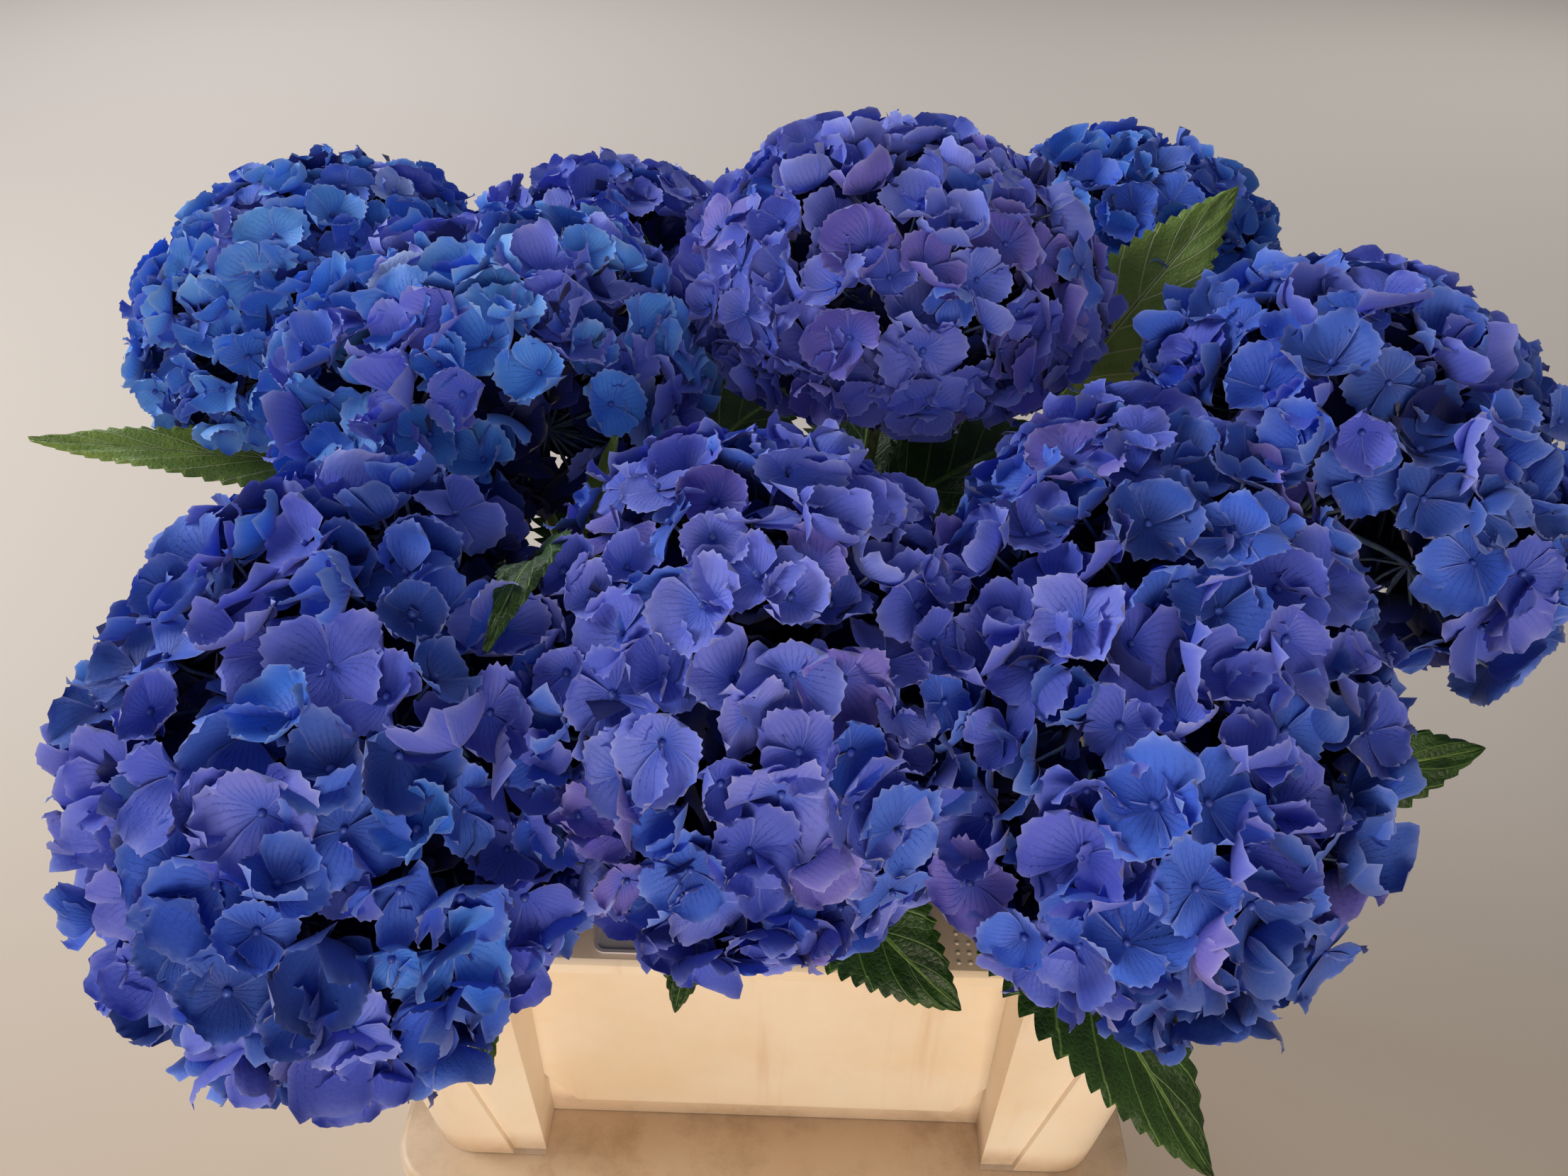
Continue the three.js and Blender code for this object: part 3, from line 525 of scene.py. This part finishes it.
def leaves():
    """Builds every leaf. Returns points of the blades with their upper sides, by the room they ask for."""
    rng = np.random.RandomState(7)
    clouds = {}
    for name, spec in LEAVES.items():
        points, uv, upper = leaf_blade(spec, rng)
        skin = PALE_LEAF if name in PALE_LEAVES else DARK_LEAF
        faces = grid_faces(1, LEAF_ROWS, LEAF_COLUMNS)
        joined(name + "_blade", points * MM, faces, skin, uv=uv, stands_for=[name])
        shares = np.linspace(0.02, 0.97, RIB_STEPS)
        spine, _, normal = leaf_frame(spec, shares)
        inside = np.clip((shares - PETIOLE_SHARE) / (1 - PETIOLE_SHARE), 0, 1)
        radius = np.where(shares < PETIOLE_SHARE, PETIOLE_R, PETIOLE_R * (0.8 - 0.65 * inside))
        rib = spine - normal * (LEAF_THICKNESS / 2 + 0.5 * radius * (inside > 0))[:, None]
        points_r, faces_r = tubes(rib[None] * MM, radius[None] * MM, RIB_SIDES)
        joined(name + "_rib", points_r, faces_r, PETIOLE_SKIN)
        spots = np.stack(np.broadcast_arrays(points, upper[:, None]), 2)[::4, ::3].reshape(-1, 2, 3)
        clouds.setdefault(PROUD_ROOM.get(name, LEAF_ROOM), []).append(spots)
    return {room: np.concatenate(cloud) for room, cloud in clouds.items()}


LEAF_CLOUDS = leaves()
print("leaves:", len(LEAVES))

# %% [markdown]
# ## Sepals
# What looks like a petal is a sepal: broad, blunt, narrow at its base, with fine veins that fan out from
# there. Four of them make a floret. They overlap, cup, curl and are pressed up by their neighbours, and
# this is what gives a mophead its ruffled look with dark gaps between. Painted shade deepens the gaps: a
# darker base on each sepal and near-black sepals in the inner layer.


# %% Sepal material
def sepal_skin(name, body, other, heart, rim):
    made, tree, shader = start(name, Roughness=0.55)
    shader.inputs["Specular IOR Level"].default_value = 0.3
    shader.inputs["Sheen Weight"].default_value = 0.2
    shader.inputs["Sheen Roughness"].default_value = 0.4
    uv = add(tree, "ShaderNodeUVMap", {"uv_map": "surface"}).outputs[0]
    parts = add(tree, "ShaderNodeSeparateXYZ", Vector=uv)
    across = calc(tree, "ABSOLUTE", calc(tree, "MULTIPLY_ADD", parts.outputs[0], 2.0, -1.0))
    place = add(tree, "ShaderNodeTexCoord").outputs["Object"]
    cloud = add(tree, "ShaderNodeTexNoise", Vector=place, Scale=70.0, Detail=3.0).outputs[0]
    crinkle = add(tree, "ShaderNodeTexNoise", Vector=place, Scale=650.0, Detail=3.0).outputs[0]
    tint = add(tree, "ShaderNodeAttribute", {"attribute_name": "tint"}).outputs["Fac"]
    shift = calc(tree, "MULTIPLY_ADD", cloud, 0.5, calc(tree, "MULTIPLY_ADD", tint, 0.8, -0.25), clamp=True)
    base = blend(tree, shift, linear(body), linear(other))
    # Painted shade: each sepal turns to its darker, bluer heart colour towards its base, partly the shade in
    # the floret's cup and partly its own bluer tone.
    shade_and_tone_at_base = calc(tree, "MULTIPLY", ramp(tree, parts.outputs[1], 0.6, 0.05), 0.75)
    base = blend(tree, shade_and_tone_at_base, base, linear(heart))
    fan = calc(tree, "MULTIPLY_ADD", parts.outputs[0], 62.0, calc(tree, "MULTIPLY", crinkle, 5.0))
    vein = ramp(tree, calc(tree, "SINE", fan), 0.6, 1.0)
    fade = calc(tree, "MULTIPLY", vein, ramp(tree, parts.outputs[1], 1.0, 0.25))
    base = blend(tree, calc(tree, "MULTIPLY", fade, 0.28), base, linear("#1d2a80"))
    # Painted highlight: the sepal's edge and tip turn to the pale rim colour, as lit edges.
    border = calc(tree, "POWER", calc(tree, "MAXIMUM", across, parts.outputs[1]), 14.0)
    base = blend(tree, calc(tree, "MULTIPLY", border, 0.5), base, linear(rim))
    tree.links.new(base, shader.inputs["Base Color"])
    relief(tree, shader, calc(tree, "SUBTRACT", crinkle, calc(tree, "MULTIPLY", fade, 0.7)), 0.35, 0.6)
    return made


TONES = {
    "sky": sepal_skin("light azure sepals", "#5298f6", "#66a8fa", "#2e6cde", "#b8d2fc"),
    "azure": sepal_skin("azure sepals", "#3b7ae6", "#4e8ef2", "#265cce", "#aac6fa"),
    "blue": sepal_skin("blue sepals", "#3f69dc", "#507ae8", "#284cb8", "#a2b8f6"),
    "navy": sepal_skin("dark blue sepals", "#3054b4", "#3d64c8", "#203c96", "#8ca0e4"),
    "violet": sepal_skin("violet sepals", "#4d63d2", "#6570de", "#3450c8", "#a8b2f6"),
    "lilac": sepal_skin("lilac sepals", "#6b80e8", "#8088ee", "#3f66e0", "#bcc6fc"),
    "mauve": sepal_skin("mauve sepals", "#6c68cc", "#8078dc", "#3f5cd2", "#b8b8f4"),
    "pale": sepal_skin("pale young sepals", "#86a2ea", "#9cb6f4", "#4c7cdc", "#ccd8f8"),
    # Painted shade: the deep tone is a near-black blue that stands for the shade inside a bloom.
    "deep": sepal_skin("inner sepals in painted shade", "#121c5e", "#1a2774", "#0c1340", "#2b3985"),
}

# %% [markdown]
# Each bloom deals its florets among a few tones: azure on the left and at the back right, dark blue on the
# right, more violet and lilac in the others, with a little mauve in front and in the middle. The lighter
# azure of the left blooms is partly painted light, for the side that faces the window, and the dark blue of
# the right blooms partly painted shade, for the side away from it. Every tone of a bloom is a mesh of its
# own with a plain colour. A sepal that would stand out of its bloom by more than a limit, a share of the
# bloom's radii, is pressed back, and four blooms have a limit of their own, set against the photograph.

# %% Tones of each bloom
# Painted light and shade: the sky and azure shares of the left blooms are set partly for the light on that
# side, and the dark blue shares of the right-hand blooms partly for the shade away from it.
SHARES = {
    "front_left": dict(blue=0.3, violet=0.34, navy=0.2, azure=0.05, lilac=0.09, pale=0.02),
    "front_middle": dict(violet=0.44, blue=0.18, lilac=0.26, mauve=0.12),
    "front_right": dict(violet=0.34, lilac=0.14, mauve=0.06, blue=0.18, navy=0.28),
    "right": dict(blue=0.46, navy=0.34, violet=0.14, lilac=0.06),
    "middle": dict(lilac=0.54, violet=0.24, blue=0.1, mauve=0.12),
    "left": dict(azure=0.16, sky=0.34, blue=0.12, lilac=0.34, pale=0.04),
    "far_left": dict(azure=0.26, sky=0.38, blue=0.22, lilac=0.12, pale=0.02),
    "back_left": dict(lilac=0.6, violet=0.22, blue=0.12, pale=0.06),
    "back_right": dict(azure=0.6, blue=0.3, navy=0.1),
}
SEPAL_GRID = {"outer": (7, 11), "inner": (5, 5)}
FLORET_AREA = 1060.0
OVERLAP = {"outer": 2.4, "inner": 1.9}
REACH = {"outer": (0.84, 0.97), "inner": (0.62, 0.78)}
LEAN = {"outer": 0.4, "inner": 0.5}
FLORET_R, INNER_SIZE = (14.5, 22.5), 0.92
JITTER, NEIGHBOUR_MARGIN = 2.2, 9
LIMIT, GIVE, MOST = 1.01, 0.6, 0.14
OWN_LIMIT = {"front_left": 1.03, "front_middle": 0.94, "middle": 0.96, "far_left": 0.95}


# %% Florets of a bloom
def clears(point, radius, room, tree, upper):
    """Whether a floret leaves a leaf free: the leaf's own room over it, and the common room under it."""
    spot, k, distance = tree.find(point)
    above = (point - np.array(spot)) @ upper[k] > 0
    return distance > (room if above else LEAF_ROOM) * radius


def florets(name, layer, seed, leaf_trees):
    """Centres, normals, radii and spins of a bloom's florets in one layer, by the rule of the solids."""
    plan = STEMS[name]
    rng = np.random.RandomState(seed)
    heart, across, along, out = bloom_axes(plan)
    a, b, c = plan["radii"]
    lowest = LOWEST_FLORET if layer == "outer" else LOWEST_INNER
    area = 2 * np.pi * (a * b * c) ** (2 / 3) * (1 - lowest)
    count = int(area * OVERLAP[layer] / FLORET_AREA)
    k = np.arange(count)
    z = 1 - (1 - lowest) * (k + 0.5) / count
    ring = np.sqrt(1 - z ** 2)
    angle = k * np.pi * (3 - np.sqrt(5)) + seed
    x, y = ring * np.cos(angle), ring * np.sin(angle)
    reach = rng.uniform(*REACH[layer], count)
    depth = np.where(z < 0, UNDERSIDE, 1.0) * z
    shell = x[:, None] * a * across + y[:, None] * b * along + depth[:, None] * c * out
    place = heart + reach[:, None] * shell
    place += rng.normal(0, JITTER, place.shape)
    normal = unit((x / a)[:, None] * across + (y / b)[:, None] * along + (z / c)[:, None] * out)
    normal = unit(normal + rng.normal(0, LEAN[layer], place.shape))
    radius = rng.uniform(*FLORET_R, count) * (1.0 if layer == "outer" else INNER_SIZE)
    keep = np.ones(count, bool)
    outward = unit(place - heart)
    if "open" in plan:
        keep &= outward @ unit(np.array(plan["open"])) < OPEN_CONE
    for other, there in STEMS.items():
        apart = np.array(there["centre"], float) - heart
        distance = np.linalg.norm(apart)
        if other != name and distance < NEIGHBOUR * (a + there["radii"][0]):
            border = distance * a / (a + there["radii"][0]) + NEIGHBOUR_MARGIN
            keep &= (place - heart) @ (apart / distance) < border
    for i in np.nonzero(keep)[0]:
        keep[i] = all(clears(place[i], radius[i], room, *found) for room, found in leaf_trees.items())
    return dict(place=place[keep], normal=normal[keep], radius=radius[keep], outward=outward[keep],
                draw=rng.random(count)[keep], spin=rng.uniform(0, np.pi / 2, count)[keep])


def sepal_grids(f, rng, rows, columns):
    """Points and UVs of the four sepals of every floret, one grid each."""
    n = len(f["radius"])
    side = unit(np.cross(f["normal"], [0.31, 0.52, 0.79]))
    other = np.cross(f["normal"], side)
    turn = f["spin"][:, None] + (np.arange(4) + rng.normal(0, 0.09, (n, 4))) * np.pi / 2
    radial = np.cos(turn)[..., None] * side[:, None] + np.sin(turn)[..., None] * other[:, None]
    sideways = -np.sin(turn)[..., None] * side[:, None] + np.cos(turn)[..., None] * other[:, None]
    length = f["radius"][:, None] * rng.uniform(0.84, 1.1, (n, 4))
    half = length * rng.uniform(0.5, 0.68, (n, 4))
    tooth = rng.uniform(0.3, 1.5, (n, 4, 1, columns))
    cup = rng.uniform(-0.02, 0.78, (n, 1)) + rng.normal(0, 0.22, (n, 4))
    lift = np.array([0.03, 0.14, 0.03, 0.14]) + rng.normal(0, 0.02, (n, 4))
    hem = rng.normal(0.04, 0.11, (n, 4))
    twist = rng.normal(0, 0.2, (n, 4))
    wave = rng.uniform(0.02, 0.07, (n, 4))
    phase = rng.uniform(0, 2 * np.pi, (n, 4))
    curl = rng.normal(0, 0.5, (n, 4))
    v = np.linspace(0.04, 1, rows)[:, None]
    u = np.linspace(-1, 1, columns)[None]
    width = np.sin(0.74 * np.pi * v ** 0.92)
    odd_row, odd_column = np.arange(rows)[:, None] % 2, np.arange(columns)[None] % 2
    rough = (np.abs(u) > 0.99) * (v > 0.3) * (odd_row - 0.5) * 0.08
    fringe = (v > 0.99) * (odd_column - 0.5) * 0.075

    def spread(values):
        return values[..., None, None]

    tip = 0.05 * np.exp(-(u / 0.3) ** 2) * v ** 5
    out = spread(length) * (v * (1 - 0.24 * np.abs(u) ** 2.2 * v ** 0.5) + tip + tooth * fringe)
    sidestep = spread(half) * u * width * (1 + tooth * rough)
    rise = (spread(lift) * v + spread(cup) * v ** 2 + spread(hem) * np.abs(u) ** 2.5 * width
            + spread(twist) * u * v + spread(wave) * np.sin(1.5 * np.pi * u + spread(phase)) * v ** 2
            + spread(curl) * np.clip(v - 0.62, 0, 1) ** 2 - 0.03 * np.exp(-(u / 0.2) ** 2) * v)
    shorten = 1 - 0.35 * spread(np.abs(cup)) * v
    centre = f["place"][:, None, None, None]
    points = (centre + radial[:, :, None, None] * (out * shorten)[..., None]
              + sideways[:, :, None, None] * sidestep[..., None]
              + f["normal"][:, None, None, None] * (spread(length) * rise)[..., None])
    uv = np.stack(np.broadcast_arrays((u + 1) / 2, v), -1)
    return points, np.broadcast_to(uv, points.shape[:-1] + (2,))


def pressed(points, name):
    """Sepals that would stand out of the bloom's rounded outline are pressed back towards it."""
    plan, limit = STEMS[name], OWN_LIMIT.get(name, LIMIT)
    heart, across, along, out = bloom_axes(plan)
    a, b, c = plan["radii"]
    apart = points - heart
    height = apart @ out
    depth = np.where(height < 0, UNDERSIDE, 1.0) * c
    size = np.sqrt((apart @ across / a) ** 2 + (apart @ along / b) ** 2 + (height / depth) ** 2)
    kept = np.where(size > limit, (limit + np.minimum((size - limit) * GIVE, MOST)) / size, 1.0)
    return heart + apart * kept[..., None]


# %% Deal the florets and build the sepals
def leaf_tree_of(points):
    tree = kdtree.KDTree(len(points))
    for i, point in enumerate(points):
        tree.insert(point, i)
    tree.balance()
    return tree


def bloom_florets():
    trees = {room: (leaf_tree_of(cloud[:, 0]), cloud[:, 1]) for room, cloud in LEAF_CLOUDS.items()}
    return {
        name: {layer: florets(name, layer, 10 * (k + 1) + i, trees) for i, layer in enumerate(OVERLAP)}
        for k, name in enumerate(STEMS)
    }


def petals(name, layer, f, seed):
    """The sepals of one layer of a bloom, a mesh for each tone. Returns how many triangles they have."""
    rng = np.random.RandomState(seed)
    rows, columns = SEPAL_GRID[layer]
    points, uv = sepal_grids(f, rng, rows, columns)
    points = pressed(points, name)
    tint = np.broadcast_to(rng.random(len(f["radius"]))[:, None, None, None], points.shape[:-1])
    # The inner layer gets only the deep tone, painted shade.
    shares = SHARES[name] if layer == "outer" else {"deep": 1.0}
    bands = np.cumsum(list(shares.values()))
    chosen = np.minimum(np.searchsorted(bands, f["draw"]), len(bands) - 1)
    total = 0
    for i, tone in enumerate(shares):
        mine = chosen == i
        if mine.any():
            faces = grid_faces(4 * int(mine.sum()), rows, columns)
            joined(f"{layer}_sepals_{name}_{tone}", points[mine] * MM, faces, TONES[tone],
                   uv=uv[mine], tint=tint[mine], stands_for=["bloom_" + name])
            total += 2 * len(faces)
    return total


FLORETS = bloom_florets()
print("florets:", {name: [len(f["radius"]) for f in layers.values()] for name, layers in FLORETS.items()})
TRIANGLES = sum(
    petals(name, layer, f, 100 + 2 * k + i)
    for k, (name, layers) in enumerate(FLORETS.items()) for i, (layer, f) in enumerate(layers.items())
)
print("sepals: triangles", TRIANGLES)

# %% [markdown]
# ## Buds and flower stalks
# Each floret has a tiny round bud in its middle. Under it a thin stalk runs to one of a few branches, and
# these meet at the top of the stem. They show where a bloom is open, and from the side and below.


# %% Bud and stalk materials
def plain_skin(name, colour, other, roughness):
    made, tree, shader = start(name, Roughness=roughness)
    place = add(tree, "ShaderNodeTexCoord").outputs["Object"]
    spot = add(tree, "ShaderNodeTexNoise", Vector=place, Scale=300.0, Detail=2.0).outputs[0]
    base = blend(tree, ramp(tree, spot, 0.35, 0.65), linear(colour), linear(other))
    tree.links.new(base, shader.inputs["Base Color"])
    relief(tree, shader, spot, 0.2, 0.5)
    return made


BUD_SKIN = plain_skin("blue flower buds", "#4c68cc", "#33489e", 0.45)
STALK_SKIN = plain_skin("indigo flower stalks", "#36467c", "#4a6070", 0.5)
BUD_R = (1.2, 1.8)
BRANCHES, BRANCH_REACH, BRANCH_STEPS = 9, 0.45, 5
BRANCH_SPREAD, BRANCH_BOW, HUB_DEPTH, STALK_BOW = 1.25, 6, 0.3, 0.3
HUB_R, BRANCH_R, THREAD_R = 2.4, (1.9, 1.3), (0.95, 0.75)


# %% Buds
def buds():
    rng = np.random.RandomState(5)
    ball = bmesh.new()
    bmesh.ops.create_icosphere(ball, subdivisions=1, radius=1)
    template = np.array([v.co for v in ball.verts])
    triangles = np.array([[v.index for v in face.verts] for face in ball.faces])
    ball.free()
    for name, layers in FLORETS.items():
        f = layers["outer"]
        n = len(f["radius"])
        radius = rng.uniform(*BUD_R, n)
        centre = f["place"] + f["normal"] * (radius * 0.7)[:, None]
        points = centre[:, None] + template * radius[:, None, None]
        faces = (triangles[None] + (np.arange(n) * len(template))[:, None, None]).reshape(-1, 3)
        joined("buds_" + name, points * MM, faces, BUD_SKIN)


# %% Flower stalks
def stalks():
    for name, layers in FLORETS.items():
        plan = STEMS[name]
        f = {key: np.concatenate([layer[key] for layer in layers.values()]) for key in ("place", "normal")}
        heart, across, along, out = bloom_axes(plan)
        radii = plan["radii"]
        neck = stem_line(plan, [1])[0] + out * GAP
        hub = heart - out * radii[2] * HUB_DEPTH
        way = np.arange(BRANCHES) + 0.5
        z = 1 - BRANCH_SPREAD * way / BRANCHES
        ring = np.sqrt(1 - z ** 2)
        angle = way * np.pi * (3 - np.sqrt(5))
        tips = heart + BRANCH_REACH * (
            (ring * np.cos(angle) * radii[0])[:, None] * across
            + (ring * np.sin(angle) * radii[1])[:, None] * along + (z * radii[2])[:, None] * out)
        trunk, trunk_faces = tubes(
            np.linspace(neck, hub, 6)[None] * MM, np.linspace(STEM_TIP_R, HUB_R, 6)[None] * MM, 8)
        joined("flower_stem_" + name, trunk, trunk_faces, STALK_SKIN)
        first = np.broadcast_to(hub, tips.shape)
        branch = bowed(first, (first + tips) / 2 + out * BRANCH_BOW, tips, BRANCH_STEPS)
        thick = np.broadcast_to(np.linspace(*BRANCH_R, BRANCH_STEPS), branch.shape[:2])
        branch_points, branch_faces = tubes(branch * MM, thick * MM, 5)
        joined("flower_branches_" + name, branch_points, branch_faces, STALK_SKIN)
        nearest = np.argmin(np.linalg.norm(f["place"][:, None] - tips[None], axis=-1), axis=1)
        root = tips[nearest]
        reach = np.linalg.norm(f["place"] - root, axis=1)[:, None]
        thread = bowed(root, f["place"] - f["normal"] * STALK_BOW * reach, f["place"], BRANCH_STEPS)
        thin = np.broadcast_to(np.linspace(*THREAD_R, BRANCH_STEPS), thread.shape[:2])
        thread_points, thread_faces = tubes(thread * MM, thin * MM, 4)
        joined("floret_stalks_" + name, thread_points, thread_faces, STALK_SKIN)


buds()
stalks()

# %% [markdown]
# ## Floor, light and camera
# The bucket stands on a pale floor, in soft daylight from the left. The floor's colour is painted lighter
# to the right, as painted light, and greyer further back. The camera stands where the photograph was taken
# from: above and in front, looking down, turned a little and tilted a little.

# %% Stage
FLOOR_SIZE = 9.0
WORLD_LIGHT = 0.19
LIGHTS = {
    "window": ((-2.3, 0.2, 1.8), (0, 0.1, 0.35), 1.3, 47, "#fffdfa"),
    "far_window": ((-1.8, 3.2, 2.4), (-1.2, 3.0, 0.0), 2.2, 50, "#f8f9ff"),
    "side": ((2.4, 3.0, 2.2), (1.6, 2.6, 0.0), 1.8, 24, "#ffffff"),
    "bounce": ((0.1, -1.5, 0.45), (0, 0, 0.3), 0.8, 10, "#ffe8d0"),
    "front": ((0.1, -1.3, 0.85), (0, 0, 0.35), 0.6, 2.8, "#fff0e0"),
}


def stage():
    made, tree, shader = start("pale matte floor", Roughness=0.85)
    place = add(tree, "ShaderNodeTexCoord").outputs["Object"]
    spot = add(tree, "ShaderNodeSeparateXYZ", Vector=place)
    # Painted light: the floor's colour is lighter to the right of the bucket; further back it turns greyer.
    near = blend(tree, ramp(tree, spot.outputs[0], 0.0, 0.5), linear("#c6b39c"), linear("#dccab2"))
    base = blend(tree, ramp(tree, spot.outputs[1], -0.5, 0.5), near, linear("#d9d0c6"))
    tree.links.new(base, shader.inputs["Base Color"])
    shape = bmesh.new()
    bmesh.ops.create_grid(shape, x_segments=1, y_segments=1, size=FLOOR_SIZE)
    mesh = bpy.data.meshes.new("floor")
    shape.to_mesh(mesh)
    shape.free()
    mesh.materials.append(made)
    floor = bpy.data.objects.new("floor", mesh)
    bpy.context.scene.collection.objects.link(floor)


def area_light(name, place, target, size, power, colour):
    lamp = bpy.data.lights.new(name, "AREA")
    lamp.size, lamp.energy, lamp.color = size, power, linear(colour)[:3]
    piece = bpy.data.objects.new(name, lamp)
    piece.location = place
    piece.rotation_euler = (Vector(target) - Vector(place)).to_track_quat("-Z", "Y").to_euler()
    bpy.context.scene.collection.objects.link(piece)


stage()
for light, values in LIGHTS.items():
    area_light(light, *values)
world = bpy.data.worlds.new("soft room light")
world.use_nodes = True
world.node_tree.nodes["Background"].inputs[0].default_value = linear("#e6e4e6")
world.node_tree.nodes["Background"].inputs[1].default_value = WORLD_LIGHT
bpy.context.scene.world = world
bpy.context.scene.view_settings.view_transform = "Standard"

# %% Camera
CAMERA_AT = Vector((0.0098, -0.4493, 0.7933))
YAW, PITCH, ROLL = math.radians(0.82), math.radians(37.0), math.radians(1.15)
PHOTO_WIDTH, FOCAL_PIXELS, SENSOR = 2212, 1661.0, 36.0


def photo_camera():
    forward = Vector((-math.sin(YAW) * math.cos(PITCH), math.cos(YAW) * math.cos(PITCH), -math.sin(PITCH)))
    right = Vector((math.cos(YAW), math.sin(YAW), 0))
    up = right.cross(forward)
    tilted_right = math.cos(ROLL) * right + math.sin(ROLL) * up
    tilted_up = math.cos(ROLL) * up - math.sin(ROLL) * right
    turn = Matrix((tilted_right, tilted_up, -forward)).transposed()
    data = bpy.data.cameras.new("photo_camera")
    data.sensor_fit, data.sensor_width = "HORIZONTAL", SENSOR
    data.lens = FOCAL_PIXELS * SENSOR / PHOTO_WIDTH
    data.clip_start = 0.01
    camera = bpy.data.objects.new("photo_camera", data)
    camera.matrix_world = Matrix.Translation(CAMERA_AT) @ turn.to_4x4()
    bpy.context.scene.collection.objects.link(camera)
    bpy.context.scene.camera = camera
    print("camera: lens", round(data.lens, 2), "mm")


photo_camera()

# %% The end
bpy.context.view_layer.update()
